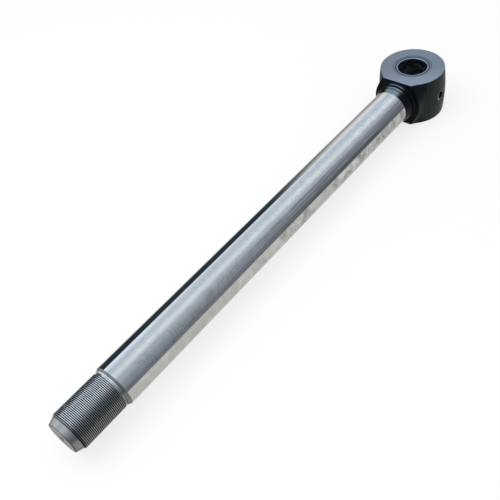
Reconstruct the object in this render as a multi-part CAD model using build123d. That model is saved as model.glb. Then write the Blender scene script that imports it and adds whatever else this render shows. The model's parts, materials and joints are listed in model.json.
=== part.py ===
from build123d import *
import math
import os

os.makedirs("parts", exist_ok=True)

# Chrome piston rod with a welded eye. Lengths are in millimetres, angles in degrees.
# X is the bar's axis and Z the pin's axis. The origin is the middle of the eye's bore.
# A station is a distance from the pin's axis towards the thread, so station s lies at X = -s.

# Bar
rod_diameter = 56.0
chrome_length = 585.8

# Shoulder and thread M52 x 2, drawn here as a plain cylinder at its major diameter
shoulder_step = 2.0
shoulder_chamfer_length = 4.3
shoulder_lip = 0.1
thread_pitch = 2.0
thread_turns = 31.5
thread_depth_per_pitch = 0.6134
thread_end_chamfer = 1.8
relief_width = 2.0
relief_clearance = 0.2

# Nose beyond the thread
nose_length = 9.1
nose_taper_angle = 17.0
nose_edge_chamfer = 0.8
centre_drill_mouth_diameter = 6.7
centre_drill_pilot_diameter = 3.15
centre_drill_pilot_depth = 7.0
centre_drill_angle = 60.0

# Bush and the seat round it
pin_diameter = 45.0
bush_wall = 3.0
bush_chamfer = 0.5
seat_recess_margin = 3.5
seat_recess_depth = 0.4
seat_lead_in = 0.6

# Eye
eye_width = 73.0
eye_wall = 25.8
eye_crown = 2.2
eye_flat_depth = 5.6
eye_edge_chamfer = 0.5
boss_overhang = 2.5
boss_blend_radius = 24.0
boss_rim_chamfer = 1.0

# Neck of the eye, which the bar is welded to
neck_step = 3.6
neck_flare = 1.2
neck_length = 4.6
neck_chamfer = 1.4

# Weld between bar and neck: two passes show over a bevelled groove
weld_width = 16.2
weld_root_radius = 13.0
weld_crest_width = 7.6
weld_crest_foot_rise = 1.7
weld_crest_bulge = 1.0
weld_crest_facets = 4
weld_valley_rise = 2.2

# Grease port, a tapped hole for a G 1/4 nipple
port_spot_face_diameter = 18.0
port_spot_face_depth = 1.2
port_thread_minor_diameter = 11.45
port_thread_depth = 10.0
port_mouth_chamfer = 0.6
grease_drilling_diameter = 5.0

# Derived sizes of the eye and its bush
bush_inner_radius = pin_diameter / 2
bush_outer_radius = bush_inner_radius + bush_wall
eye_half_width = eye_width / 2
bush_half_length = eye_half_width - seat_recess_depth
eye_radius = bush_outer_radius + eye_wall
eye_end_station = eye_radius - eye_flat_depth
boss_radius = eye_half_width + boss_overhang
port_floor = eye_radius - port_spot_face_depth

# Derived sizes of the neck and the weld
rod_radius = rod_diameter / 2
neck_radius = rod_radius + neck_step
neck_end_station = eye_end_station + neck_length
weld_toe_station = neck_end_station + weld_width
weld_valley_station = neck_end_station + weld_crest_width

# Derived sizes of the thread end
chrome_end_station = weld_toe_station + chrome_length
shoulder_end_station = chrome_end_station + shoulder_chamfer_length
thread_radius = rod_radius - shoulder_step
thread_depth = thread_depth_per_pitch * thread_pitch
relief_radius = thread_radius - thread_depth - relief_clearance
thread_start_station = shoulder_end_station + relief_width
thread_end_station = thread_start_station + thread_turns * thread_pitch
rod_end_station = thread_end_station + nose_length
nose_start_radius = thread_radius - thread_end_chamfer
nose_end_radius = nose_start_radius - nose_length * math.tan(math.radians(nose_taper_angle))

# Directions that the turned and drilled features are made along
thread_direction = (-1, 0, 0)
port_direction = (0, -1, 0)


def on_section(station, radius):
    """Point of the bar's half section, in the XY plane."""
    return (-station, radius)


def turned(points):
    """Solid turned about the bar's axis from a closed outline of (station, radius) points."""
    outline = Polyline([on_section(*point) for point in points], close=True)
    return revolve(make_face(outline), Axis.X, 360)


def domed(start, end, bulge, facets):
    """Points between two (station, radius) points, on a parabola that rises by bulge off their chord."""
    run = end[0] - start[0]
    rise = end[1] - start[1]
    chord = math.hypot(run, rise)
    points = []
    for step in range(1, facets):
        share = step / facets
        offset = 4 * bulge * share * (1 - share) / chord
        points.append((start[0] + share * run + offset * rise, start[1] + share * rise - offset * run))
    return points


def round_bar(direction, start, end, radius):
    """Cylinder along a direction, from the distance start to the distance end from the origin."""
    plane = Plane(origin=tuple(start * part for part in direction), z_dir=direction)
    return plane * Cylinder(radius, end - start, align=(Align.CENTER, Align.CENTER, Align.MIN))


def round_taper(direction, start, end, start_radius, end_radius):
    """Cone along a direction, from the distance start to the distance end from the origin."""
    plane = Plane(origin=tuple(start * part for part in direction), z_dir=direction)
    return plane * Cone(start_radius, end_radius, end - start, align=(Align.CENTER, Align.CENTER, Align.MIN))


def piston_rod():
    """Turned bar: weld bevel, chromed length, shoulder chamfer, relief, thread and tapered nose."""
    bar = turned(
        [
            (neck_end_station, 0),
            (neck_end_station, weld_root_radius),
            (weld_toe_station, rod_radius),
            (chrome_end_station, rod_radius),
            (shoulder_end_station, thread_radius - shoulder_lip),
            (shoulder_end_station, relief_radius),
            (thread_start_station, relief_radius),
            (thread_start_station + thread_depth, thread_radius),
            (thread_end_station - thread_end_chamfer, thread_radius),
            (thread_end_station, nose_start_radius),
            (rod_end_station - nose_edge_chamfer, nose_end_radius),
            (rod_end_station, nose_end_radius - nose_edge_chamfer),
            (rod_end_station, 0),
        ]
    )
    return bar - centre_drilling()


def centre_drilling():
    """Lathe centre in the nose: a cone down to a pilot hole."""
    mouth_radius = centre_drill_mouth_diameter / 2
    pilot_radius = centre_drill_pilot_diameter / 2
    cone_depth = (mouth_radius - pilot_radius) / math.tan(math.radians(centre_drill_angle / 2))
    cone_start = rod_end_station - cone_depth
    pilot_start = rod_end_station - centre_drill_pilot_depth
    cone = round_taper(thread_direction, cone_start, rod_end_station, pilot_radius, mouth_radius)
    return cone + round_bar(thread_direction, pilot_start, rod_end_station, pilot_radius)


def eye_barrel(half_height):
    """Crowned disc about the pin's axis, drawn on beyond the eye's faces to half_height."""
    crown_radius = (eye_half_width**2 + eye_crown**2) / (2 * eye_crown)
    end_radius = eye_radius - crown_radius + math.sqrt(crown_radius**2 - half_height**2)
    lower = (end_radius, -half_height)
    upper = (end_radius, half_height)
    edges = [
        Polyline((0, half_height), (0, -half_height), lower),
        ThreePointArc(lower, (eye_radius, 0), upper),
        Line(upper, (0, half_height)),
    ]
    return revolve(Plane.XZ * make_face(edges), Axis.Z, 360)


def eye_blank():
    """Drilled eye with its round boss blended in, cut flat on the bar's side, its edges broken."""
    overlong = boss_radius + 2 * boss_blend_radius
    boss = round_bar(thread_direction, bush_outer_radius, eye_end_station + overlong, boss_radius)
    blank = eye_barrel(overlong) - grease_port() + boss
    curved = blank.edges().filter_by(GeomType.BSPLINE)
    crease = [edge for edge in curved if edge.center().X < -bush_outer_radius]
    blank = blank.fillet(boss_blend_radius, crease)
    keep = Box(
        eye_end_station + 2 * eye_radius,
        4 * eye_radius,
        eye_width,
        align=(Align.MIN, Align.CENTER, Align.CENTER),
    )
    blank = blank & (Pos(-eye_end_station, 0, 0) * keep)
    end_face = blank.faces().sort_by(Axis.X)[0]
    rim = [edge for edge in end_face.edges() if edge.geom_type != GeomType.LINE]
    blank = blank.chamfer(boss_rim_chamfer, None, rim)
    faces = blank.faces().sort_by(Axis.Z)
    return blank.chamfer(eye_edge_chamfer, None, faces[0].edges() + faces[-1].edges())


def eye_neck():
    """Short raised neck, flared where it leaves the eye, drawn on into the eye to be joined."""
    inside = bush_outer_radius + bush_wall
    return turned(
        [
            (inside, 0),
            (neck_end_station, 0),
            (neck_end_station, neck_radius - neck_chamfer),
            (neck_end_station - neck_chamfer, neck_radius),
            (eye_end_station, neck_radius + neck_flare),
            (inside, neck_radius + neck_flare),
        ]
    )


def bush_seat():
    """Bore for the bush, with a lead-in and a shallow recess on both faces."""
    up = (0, 0, 1)
    down = (0, 0, -1)
    lead_in_start = bush_half_length - seat_lead_in
    lead_in_radius = bush_outer_radius + seat_lead_in
    recess_radius = bush_outer_radius + seat_recess_margin
    cut = round_bar(up, -eye_width, eye_width, bush_outer_radius)
    for side in (up, down):
        cut += round_bar(side, bush_half_length, eye_width, recess_radius)
        cut += round_taper(side, lead_in_start, bush_half_length, bush_outer_radius, lead_in_radius)
    return cut


def grease_port():
    """Spot face, tapped hole with its mouth chamfer and the drilling down to the bush."""
    tapped_radius = port_thread_minor_diameter / 2
    mouth_start = port_floor - port_mouth_chamfer
    mouth_radius = tapped_radius + port_mouth_chamfer
    outside = 2 * eye_radius
    cut = round_bar(port_direction, port_floor, outside, port_spot_face_diameter / 2)
    cut += round_bar(port_direction, port_floor - port_thread_depth, outside, tapped_radius)
    cut += round_taper(port_direction, mouth_start, port_floor, tapped_radius, mouth_radius)
    return cut + grease_drilling()


def grease_drilling():
    """Straight drilling from the bore to the grease port, through bush and eye."""
    return round_bar(port_direction, bush_inner_radius / 2, port_floor, grease_drilling_diameter / 2)


def rod_eye():
    """Forged and machined eye with neck, bush seat and grease port."""
    return eye_blank() + eye_neck() - bush_seat()


def eye_bush():
    """Plain bush pressed into the eye, its edges broken, drilled for grease."""
    inner = bush_inner_radius
    outer = bush_outer_radius
    half = bush_half_length
    edge = bush_chamfer
    section = Polyline(
        [
            (inner + edge, half),
            (inner, half - edge),
            (inner, -half + edge),
            (inner + edge, -half),
            (outer - edge, -half),
            (outer, -half + edge),
            (outer, half - edge),
            (outer - edge, half),
        ],
        close=True,
    )
    return revolve(Plane.XZ * make_face(section), Axis.Z, 360) - grease_drilling()


def weld_bead():
    """Weld ring: fills the bevel between bar and neck, with a flat pass and a domed one on top."""
    crest_foot = (neck_end_station, rod_radius + weld_crest_foot_rise)
    valley = (weld_valley_station, rod_radius + weld_valley_rise)
    toe = (weld_toe_station, rod_radius)
    root = (neck_end_station, weld_root_radius)
    crest = domed(valley, crest_foot, weld_crest_bulge, weld_crest_facets)
    return turned([toe, valley, *crest, crest_foot, root])


export_step(piston_rod(), "parts/piston_rod.step")
export_step(rod_eye(), "parts/rod_eye.step")
export_step(eye_bush(), "parts/eye_bush.step")
export_step(weld_bead(), "parts/weld_bead.step")
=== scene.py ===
import json
import math

import bmesh
import bpy
import numpy as np
from bpy.props import FloatProperty, FloatVectorProperty, PointerProperty
from bpy.types import Operator, Panel, PropertyGroup
from mathutils import Matrix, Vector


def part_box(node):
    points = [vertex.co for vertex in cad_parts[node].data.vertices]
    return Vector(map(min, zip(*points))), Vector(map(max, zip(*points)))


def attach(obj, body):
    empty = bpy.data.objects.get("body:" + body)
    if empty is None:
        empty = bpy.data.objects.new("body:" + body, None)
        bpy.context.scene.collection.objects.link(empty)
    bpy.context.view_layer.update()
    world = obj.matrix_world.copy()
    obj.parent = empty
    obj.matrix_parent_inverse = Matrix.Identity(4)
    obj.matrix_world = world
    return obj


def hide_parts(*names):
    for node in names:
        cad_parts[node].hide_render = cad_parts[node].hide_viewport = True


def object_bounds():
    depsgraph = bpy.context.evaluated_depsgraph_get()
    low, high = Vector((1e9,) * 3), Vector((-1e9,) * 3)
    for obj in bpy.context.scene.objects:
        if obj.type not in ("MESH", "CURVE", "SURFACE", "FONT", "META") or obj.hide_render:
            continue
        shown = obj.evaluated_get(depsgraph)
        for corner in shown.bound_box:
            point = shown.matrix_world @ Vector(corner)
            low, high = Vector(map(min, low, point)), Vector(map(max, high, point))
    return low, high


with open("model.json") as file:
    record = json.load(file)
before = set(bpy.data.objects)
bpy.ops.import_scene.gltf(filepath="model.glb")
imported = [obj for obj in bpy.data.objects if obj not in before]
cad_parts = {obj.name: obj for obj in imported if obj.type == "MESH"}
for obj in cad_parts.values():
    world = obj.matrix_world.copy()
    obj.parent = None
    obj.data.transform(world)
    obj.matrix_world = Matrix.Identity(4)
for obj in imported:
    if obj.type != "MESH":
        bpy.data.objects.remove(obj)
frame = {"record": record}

bl_info = {
    "name": "Chrome Piston Rod",
    "version": (1, 0, 0),
    "blender": (4, 5, 0),
    "location": "3D View > Sidebar > Piston Rod",
    "description": "Surfaces, finishes and studio of a chromed hydraulic piston rod with a welded eye",
    "category": "Add Mesh",
}

# Everything is in metres. X is the bar's axis, Z the pin's axis, and a station is a distance from the
# pin's axis towards the thread, so station s lies at X = -s.
MM = 0.001
CAD_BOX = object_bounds()
ROD_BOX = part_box("piston_rod")
EYE_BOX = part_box("rod_eye")
BUSH_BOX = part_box("eye_bush")
WELD_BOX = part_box("weld_bead")
MOUNTS = {mount["name"]: mount["dims"] for mount in frame["record"]["mounts"]}

# Grid counts. The eye's columns are those of its end plane, rim, boss, blend and barrel, on one half.
BAR_COLUMNS = 192
BAR_ROWS = 48
EYE_COLUMNS = (18, 4, 5, 16, 84)
EYE_ROWS = 24
FACE_ROWS = 8
SEAT_ROWS = 7
BUSH_COLUMNS = 168
BUSH_ROWS = 9
WINDOW_ROWS = 16
RING_STEPS = 5
WELD_COLUMNS = 384
CREST_ROWS = 17
FLAT_ROWS = 13
EASE_STEPS = 4
BALLS = 241
HALVINGS = 24

# Limits of the meshes: angles are in radians, and the ease limit is a share of a side
MERGE_DISTANCE = 1e-6
SHARP_ANGLE = math.radians(32)
EASE_LIMIT = 0.45
LEAST_RIM = 0.004
LEAST_BOSS = 0.006
LEAST_BLEND = 0.03


def length(name, description, millimetres):
    """A length, given in millimetres and kept in metres, that the sidebar shows in the scene's units."""
    return FloatProperty(
        name=name, description=description, default=millimetres * MM, unit="LENGTH", precision=5
    )


def angle(name, description, degrees):
    """An angle that the sidebar shows in degrees."""
    return FloatProperty(
        name=name, description=description, default=math.radians(degrees), subtype="ANGLE", unit="ROTATION"
    )


def share(name, description, default):
    """A plain number from 0 to 1."""
    return FloatProperty(
        name=name, description=description, default=default, min=0.0, max=1.0, subtype="FACTOR"
    )


def number(name, description, default):
    """A number without a unit."""
    return FloatProperty(name=name, description=description, default=default)


def colour(name, description, default):
    """A linear colour."""
    return FloatVectorProperty(
        name=name, description=description, default=default, size=3, min=0.0, max=1.0, subtype="COLOR"
    )


def place(name, description, default):
    """A place in metres."""
    return FloatVectorProperty(
        name=name, description=description, default=default, size=3, subtype="TRANSLATION", unit="LENGTH"
    )


class RodShape(PropertyGroup):
    """Sizes of the bar, its thread and its nose."""

    radius: length("Bar radius", "Radius of the chromed bar", MOUNTS["rod_barrel"]["r_mm"])
    chrome_length: length("Chrome length", "Weld's toe to shoulder", MOUNTS["rod_barrel"]["length_mm"])
    shoulder_length: length("Shoulder length", "Chamfer between bar and relief", 4.3)
    shoulder_lip: length("Shoulder lip", "How far the chamfer ends below the thread's crests", 0.1)
    thread_radius: length("Thread radius", "Radius over the crests", MOUNTS["piston_thread"]["r_mm"])
    pitch: length("Thread pitch", "Advance of the thread in one turn", 2.0)
    turns: number("Thread turns", "Length of the thread in pitches", 31.5)
    depth_per_pitch: share("Full depth", "Depth that the relief clears, as a share of the pitch", 0.6134)
    form_depth: share("Thread depth", "Depth of the cut thread as a share of the pitch", 0.44)
    crest_share: share("Crest", "Flat width of a crest as a share of the pitch", 0.34)
    flank_angle: angle("Flank angle", "Half angle of the thread's groove", 30)
    corner_share: share("Thread corners", "Rounding of the thread's corners as a share of the pitch", 0.022)
    relief_width: length("Relief width", "Groove between shoulder and thread", 2.0)
    relief_drop: length("Relief drop", "How far the groove lies below the thread's roots", 0.2)
    end_chamfer: length("End chamfer", "Chamfer on the thread's last turns", 1.8)
    nose_taper: angle("Nose taper", "Half angle of the nose", 17)
    nose_length: length("Nose length", "Thread's end to the end face", 9.1)
    nose_chamfer: length("Nose chamfer", "Broken edge of the end face", 0.8)
    centre_radius: length("Centre radius", "Mouth of the lathe centre", 3.35)
    pilot_radius: length("Pilot radius", "Pilot hole of the lathe centre", 1.575)
    pilot_depth: length("Pilot depth", "Depth of the lathe centre", 7.0)
    centre_angle: angle("Centre angle", "Half angle of the lathe centre", 30)
    root_radius: length("Root radius", "Land of the bar at the weld's root", 13.0)
    edge: length("Edge", "Rounding of the turned edges", 0.22)


class EyeShape(PropertyGroup):
    """Sizes of the eye, its neck, its bush and its grease port."""

    crown: length("Crown", "How far the barrel swells between its faces", 2.2)
    flat_depth: length("Flat depth", "How far the bar's side is cut back", 5.6)
    chamfer: length("Chamfer", "Broken edges of the two faces", 0.5)
    boss_overhang: length("Boss overhang", "Boss radius beyond half the eye's width", 2.5)
    boss_blend: length("Boss blend", "Radius of the blend between boss and barrel", 24.0)
    rim_chamfer: length("Rim chamfer", "Broken edge round the boss", 1.0)
    rim_blend: length("Rim blend", "Softness of the boss's rim", 0.35)
    recess_margin: length("Recess margin", "Recess beyond the bush", 3.5)
    recess_depth: length("Recess depth", "Depth of the recess round the bush", 0.4)
    lead_in: length("Lead-in", "Chamfer of the bush's seat", 0.6)
    edge: length("Edge", "Rounding of the machined edges", 0.1)
    neck_step: length("Neck step", "Neck radius beyond the bar", 3.6)
    neck_flare: length("Neck flare", "Neck's extra radius at the eye", 1.2)
    neck_chamfer: length("Neck chamfer", "Broken edge of the neck", 1.4)
    neck_root: length("Neck root", "Rounding where the neck leaves the eye", 0.8)
    bore_radius: length("Bore radius", "Radius of the bush's bore", MOUNTS["eye_bore"]["r_mm"])
    bush_chamfer: length("Bush chamfer", "Broken edges of the bush", 0.5)
    window: length("Window", "Half height of the patch round a hole", 11.4)
    inner_window: length("Inner window", "Half height of the patch round the drilling", 5.6)
    window_angle: angle("Window angle", "Half width of both patches", 13.2)
    spot_radius: length("Spot face", "Radius of the spot face", 9.0)
    spot_depth: length("Spot depth", "Depth of the spot face", 1.2)
    port_radius: length("Port radius", "Radius of the tapped hole", MOUNTS["grease_port"]["r_mm"])
    port_depth: length("Port depth", "Depth of the tapped hole", 10.0)
    port_chamfer: length("Port chamfer", "Chamfer of the tapped hole's mouth", 0.6)
    drilling_radius: length("Drilling radius", "Radius of the grease drilling", 2.5)


class WeldShape(PropertyGroup):
    """Sizes of the weld between bar and neck."""

    crest_width: length("Crest width", "Width of the round pass", 7.6)
    foot_rise: length("Foot rise", "Round pass above the bar, at the neck", 1.7)
    bulge: length("Bulge", "Height of the round pass over its chord", 1.0)
    valley_rise: length("Valley rise", "Line between the passes, above the bar", 2.2)
    ripple_depth: length("Ripple depth", "Depth of the weld's ripples", 0.07)
    ripple_length: length("Ripple length", "Spacing of the weld's ripples", 2.9)
    flat_ripple: share("Flat ripple", "Ripples of the flat pass, as a share of the round pass's", 0.6)
    ripple_bend: number("Ripple bend", "How far the ripples trail back at a pass's edges, in radians", 1.8)
    ripple_waver: number("Ripple waver", "Unevenness of the ripples' spacing, in radians", 0.6)
    wavers: number("Wavers", "How often the spacing changes in one turn", 5.0)


class Finish(PropertyGroup):
    """Colours of the finishes."""

    chrome: colour("Chrome", "Hard chrome", (0.55, 0.556, 0.554))
    steel: colour("Turned steel", "Bare steel of shoulder and nose", (0.3, 0.305, 0.305))
    crest: colour("Thread crest", "Bright flat tops of the thread", (0.74, 0.77, 0.79))
    # Near-black of the thread's flanks and roots: grime, and painted shade between the crests.
    grime_and_shade: colour("Thread root", "Oil and grime in the thread's roots", (0.012, 0.013, 0.014))
    paint: colour("Black paint", "Satin black paint on boss and neck", (0.0031, 0.0048, 0.0078))
    # The barrel's lighter grey-green is a painted reflection of the pale floor.
    barrel: colour("Barrel paint", "Thinner grey-black paint on the barrel", (0.0148, 0.0215, 0.0218))
    face: colour("Machined face", "Blue-grey machined face of the eye", (0.2, 0.25, 0.315))
    bush: colour("Bush", "Steel of the bush", (0.25, 0.295, 0.365))
    bore: colour("Bore", "Oiled bore of the bush", (0.037, 0.049, 0.064))
    # Blue-grey metal colour that the weld and the neck take along their top.
    weld: colour("Weld", "Bare blue-grey steel on top of the weld and the neck", (0.22, 0.27, 0.32))


class Studio(PropertyGroup):
    """Camera, floor and light."""

    camera_place: place("Camera", "Place of the camera", (-0.810744, -0.459871, 0.655965))
    lens: number("Lens", "Focal length on a 36 mm sensor", 49.469)
    shift: FloatVectorProperty(
        name="Shift", description="Shift of the lens in shares of the picture",
        default=(-0.036, -0.036), size=2,
    )
    daylight: number("Daylight", "Level of the light from all sides", 0.8)
    lamp_power: number("Lamp", "Power of the soft lamp in watts", 6.0)
    lamp_size: length("Lamp size", "Side of the soft lamp", 900.0)
    lamp_place: place("Lamp place", "Place of the soft lamp", (-0.75, 0.35, 1.3))
    lamp_tilt: FloatVectorProperty(
        name="Lamp tilt", description="Turns of the soft lamp about X, Y and Z",
        default=(math.radians(-15), math.radians(-18), 0.0), size=3, subtype="EULER", unit="ROTATION",
    )
    floor_reach: length("Floor", "Half the floor's side", 4000.0)
    floor_glow: share("Floor glow", "Share of the floor's white that the shadow leaves", 0.75)


def joined(*parts):
    """Points whose coordinates are the given arrays, which may be any that combine."""
    return np.stack(np.broadcast_arrays(*parts), axis=-1)


def about_bar(station, radius, turn):
    """Points round the bar's axis: x = -station, y = r cos a, z = -r sin a."""
    return joined(-station, radius * np.cos(turn), -radius * np.sin(turn))


def about_pin(radius, height, bearing):
    """Points about Z at a bearing from -X towards -Y: x = -r cos b, y = -r sin b, z = height."""
    return joined(-radius * np.cos(bearing), -radius * np.sin(bearing), height)


def turned(profile):
    """A profile of (station, radius) rows turned about the bar's axis."""
    turn = np.linspace(0, 2 * math.pi, BAR_COLUMNS, endpoint=False)
    return about_bar(profile[:, :1], profile[:, 1:], turn)


def mirrored(profile):
    """A profile of (radius, height) rows seen in the plane z = 0, and run through backwards."""
    return profile[::-1] * (1, -1)


def eased(corners, cut):
    """A profile with its inner corners rounded.

    Each corner P becomes the curve (1 - t)^2 A + 2 t (1 - t) P + t^2 B. A and B lie on the two sides that
    meet in P, cut away from it, or the ease limit's share of the side where that is less.
    """
    corners = np.asarray(corners, float)
    inner = corners[1:-1]
    before = corners[:-2] - inner
    after = corners[2:] - inner
    start = inner + before * np.minimum(cut / np.linalg.norm(before, axis=1), EASE_LIMIT)[:, None]
    end = inner + after * np.minimum(cut / np.linalg.norm(after, axis=1), EASE_LIMIT)[:, None]
    t = np.linspace(0, 1, EASE_STEPS + 1)[None, :, None]
    curve = (1 - t) ** 2 * start[:, None] + 2 * t * (1 - t) * inner[:, None] + t**2 * end[:, None]
    return np.concatenate([corners[:1], curve.reshape(-1, 2), corners[-1:]])


class Shell:
    """Grids of points gathered into one closed mesh, whose coinciding points are joined."""

    def __init__(self):
        self.points = []
        self.quads = []
        self.finishes = []
        self.count = 0

    def add(self, grid, finish=0, around=True, along=False, keep=None):
        """Adds a grid of rows x columns points. around and along close it across columns and rows.

        finish is a material's number, or one number for each strip between rows. keep says which quads
        are made.
        """
        index = self.count + np.arange(grid.shape[0] * grid.shape[1]).reshape(grid.shape[:2])
        if around:
            index = np.concatenate([index, index[:, :1]], axis=1)
        if along:
            index = np.concatenate([index, index[:1]], axis=0)
        quads = joined(index[:-1, :-1], index[:-1, 1:], index[1:, 1:], index[1:, :-1])
        finishes = np.broadcast_to(np.asarray(finish).reshape(-1, 1), quads.shape[:2])
        kept = np.ones(quads.shape[:2], bool) if keep is None else keep
        self.points.append(grid.reshape(-1, 3))
        self.quads.append(quads[kept])
        self.finishes.append(finishes[kept])
        self.count += grid.shape[0] * grid.shape[1]

    def piece(self, name, materials, slot, node):
        """Makes the object, dresses it, attaches it to the root body and hides its CAD node."""
        mesh = bpy.data.meshes.new(name)
        mesh.from_pydata(np.concatenate(self.points).tolist(), [], np.concatenate(self.quads).tolist())
        mesh.polygons.foreach_set("material_index", np.concatenate(self.finishes).astype(np.int32))
        work = bmesh.new()
        work.from_mesh(mesh)
        bmesh.ops.remove_doubles(work, verts=work.verts, dist=MERGE_DISTANCE)
        bmesh.ops.dissolve_degenerate(work, edges=work.edges, dist=MERGE_DISTANCE)
        loose = [vertex for vertex in work.verts if not vertex.link_faces]
        bmesh.ops.delete(work, geom=loose, context="VERTS")
        bmesh.ops.recalc_face_normals(work, faces=work.faces)
        work.to_mesh(mesh)
        work.free()
        for material in materials:
            mesh.materials.append(material)
        mesh.shade_smooth()
        mesh.set_sharp_from_angle(angle=SHARP_ANGLE)
        piece = bpy.data.objects.new(name, mesh)
        bpy.context.scene.collection.objects.link(piece)
        piece.modifiers.new("Even shading", "WEIGHTED_NORMAL").keep_sharp = True
        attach(piece, "root")
        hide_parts(node)


def rod_stations(rod):
    """Stations where the bar's parts begin, from the frame and the rod's own lengths."""
    toe = -WELD_BOX[0].x
    chrome_end = toe + rod.chrome_length
    shoulder_end = chrome_end + rod.shoulder_length
    thread_start = shoulder_end + rod.relief_width
    thread_end = thread_start + rod.turns * rod.pitch
    return {
        "root": -ROD_BOX[1].x,
        "toe": toe,
        "chrome_end": chrome_end,
        "shoulder_end": shoulder_end,
        "thread_start": thread_start,
        "thread_end": thread_end,
        "rod_end": thread_end + rod.nose_length,
    }


def relief_radius(rod):
    """Radius of the groove, which lies below the roots of a full thread."""
    return rod.thread_radius - rod.depth_per_pitch * rod.pitch - rod.relief_drop


def thread_grid(rod, at):
    """Right-hand thread on a grid whose rows follow the helix.

    Row u is at the station clamp(u + pitch * turn), turn going from 0 to 1. Its radius is the lower of
    the thread form, which only depends on u, and an envelope with the lead-in and end chamfers. The form
    is a list of (share of the pitch, share of the depth) points.
    """
    depth = rod.form_depth * rod.pitch
    flank = depth * math.tan(rod.flank_angle) / rod.pitch
    crest = rod.crest_share
    soft = rod.corner_share
    bend = 1.6 * soft
    form = np.array([
        (0, 0), (crest, 0), (crest + soft, soft / 2), (crest + flank / 2, 0.5),
        (crest + flank - soft, 1 - bend), (crest + flank + soft, 1),
        (1 - flank - soft, 1), (1 - flank + soft, 1 - bend), (1 - flank / 2, 0.5), (1 - soft, soft / 2),
    ])
    turns = math.ceil(rod.turns)
    rows = (np.arange(turns + 1)[:, None] + form[None, :, 0]).ravel()
    rows = np.append(rows, turns + 1)
    radii = np.append(np.tile(rod.thread_radius - depth * form[:, 1], turns + 1), rod.thread_radius)
    turn = np.linspace(0, 1, BAR_COLUMNS + 1)
    station = at["thread_start"] + rod.pitch * (rows[:, None] - 1 + turn[None, :])
    station = np.clip(station, at["thread_start"], at["thread_end"])
    envelope = np.minimum(
        relief_radius(rod) + (station - at["thread_start"]),
        rod.thread_radius - rod.end_chamfer + (at["thread_end"] - station),
    )
    return about_bar(station, np.minimum(radii[:, None], envelope), 2 * math.pi * turn[None, :])


def bar_profile(rod, at):
    """Rows from the weld's root to the thread, and the finish of each strip: 0 chrome, 1 steel."""
    root = np.array([(at["root"], 0), (at["root"], rod.root_radius), (at["toe"], rod.radius)])
    along = np.linspace(at["toe"], at["chrome_end"] - 4 * rod.edge, BAR_ROWS)[1:]
    shoulder = eased(
        [
            (at["chrome_end"] - 3 * rod.edge, rod.radius),
            (at["chrome_end"], rod.radius),
            (at["shoulder_end"], rod.thread_radius - rod.shoulder_lip),
            (at["shoulder_end"], relief_radius(rod)),
            (at["thread_start"], relief_radius(rod)),
        ],
        rod.edge,
    )
    profile = np.concatenate([root, joined(along, rod.radius), shoulder])
    middles = (profile[1:, 0] + profile[:-1, 0]) / 2
    return profile, np.where(middles < at["chrome_end"], 0, 1)


def nose_profile(rod, at):
    """Rows from the thread's end over the tapered nose and down the lathe centre to the axis."""
    start_radius = rod.thread_radius - rod.end_chamfer
    end_radius = start_radius - rod.nose_length * math.tan(rod.nose_taper)
    cone_depth = (rod.centre_radius - rod.pilot_radius) / math.tan(rod.centre_angle)
    return eased(
        [
            (at["thread_end"], start_radius),
            (at["rod_end"] - rod.nose_chamfer, end_radius),
            (at["rod_end"], end_radius - rod.nose_chamfer),
            (at["rod_end"], rod.centre_radius),
            (at["rod_end"] - cone_depth, rod.pilot_radius),
            (at["rod_end"] - rod.pilot_depth, rod.pilot_radius),
            (at["rod_end"] - rod.pilot_depth, 0),
        ],
        rod.edge,
    )


def crown_arc(eye):
    """Radius of the barrel's crown: (w^2 + c^2) / 2c, w half the width and c the crown's height."""
    return (EYE_BOX[1].z ** 2 + eye.crown**2) / (2 * eye.crown)


def barrel_radius(eye, height):
    """Radius of the crowned barrel at a height: R - a + sqrt(a^2 - z^2), a the crown's arc."""
    arc = crown_arc(eye)
    return EYE_BOX[1].x - arc + np.sqrt(arc**2 - height**2)


def soft_lower(a, b, reach):
    """The lower of two values, less (reach - |a - b|)^2 / 4 reach where they differ by less than reach."""
    return np.minimum(a, b) - np.maximum(reach - np.abs(a - b), 0) ** 2 / (4 * reach)


def eye_plan(eye, rod):
    """Radii and distances that the eye's outline is made from."""
    half = EYE_BOX[1].z
    return {
        "half": half,
        "boss": half + eye.boss_overhang,
        "end": EYE_BOX[1].x - eye.flat_depth,
        "seat": BUSH_BOX[1].x,
        "recess": BUSH_BOX[1].x + eye.recess_margin,
        "neck": rod.radius + eye.neck_step,
    }


def blend_balls(eye, plan):
    """Ball rolled along the crease of boss and barrel: places of its centre and of what it touches.

    Its centre stands the ball's radius off both walls, so it lies boss + radius from the bar's axis and
    crown's arc + radius from the arc's centre.
    """
    arc = crown_arc(eye)
    off_boss = plan["boss"] + eye.boss_blend
    height = np.linspace(-1, 1, BALLS) * plan["half"] * off_boss / plan["boss"]
    out = EYE_BOX[1].x - arc + np.sqrt((arc + eye.boss_blend) ** 2 - height**2)
    side = np.sqrt(off_boss**2 - height**2)
    along = np.sqrt(out**2 - side**2)
    return {
        "along": along,
        "side": side,
        "height": height,
        "boss_height": height * plan["boss"] / off_boss,
        "boss_bearing": np.arctan2(side * plan["boss"] / off_boss, along),
        "barrel_height": height * arc / (arc + eye.boss_blend),
        "barrel_bearing": np.arctan2(side, along),
    }


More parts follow.
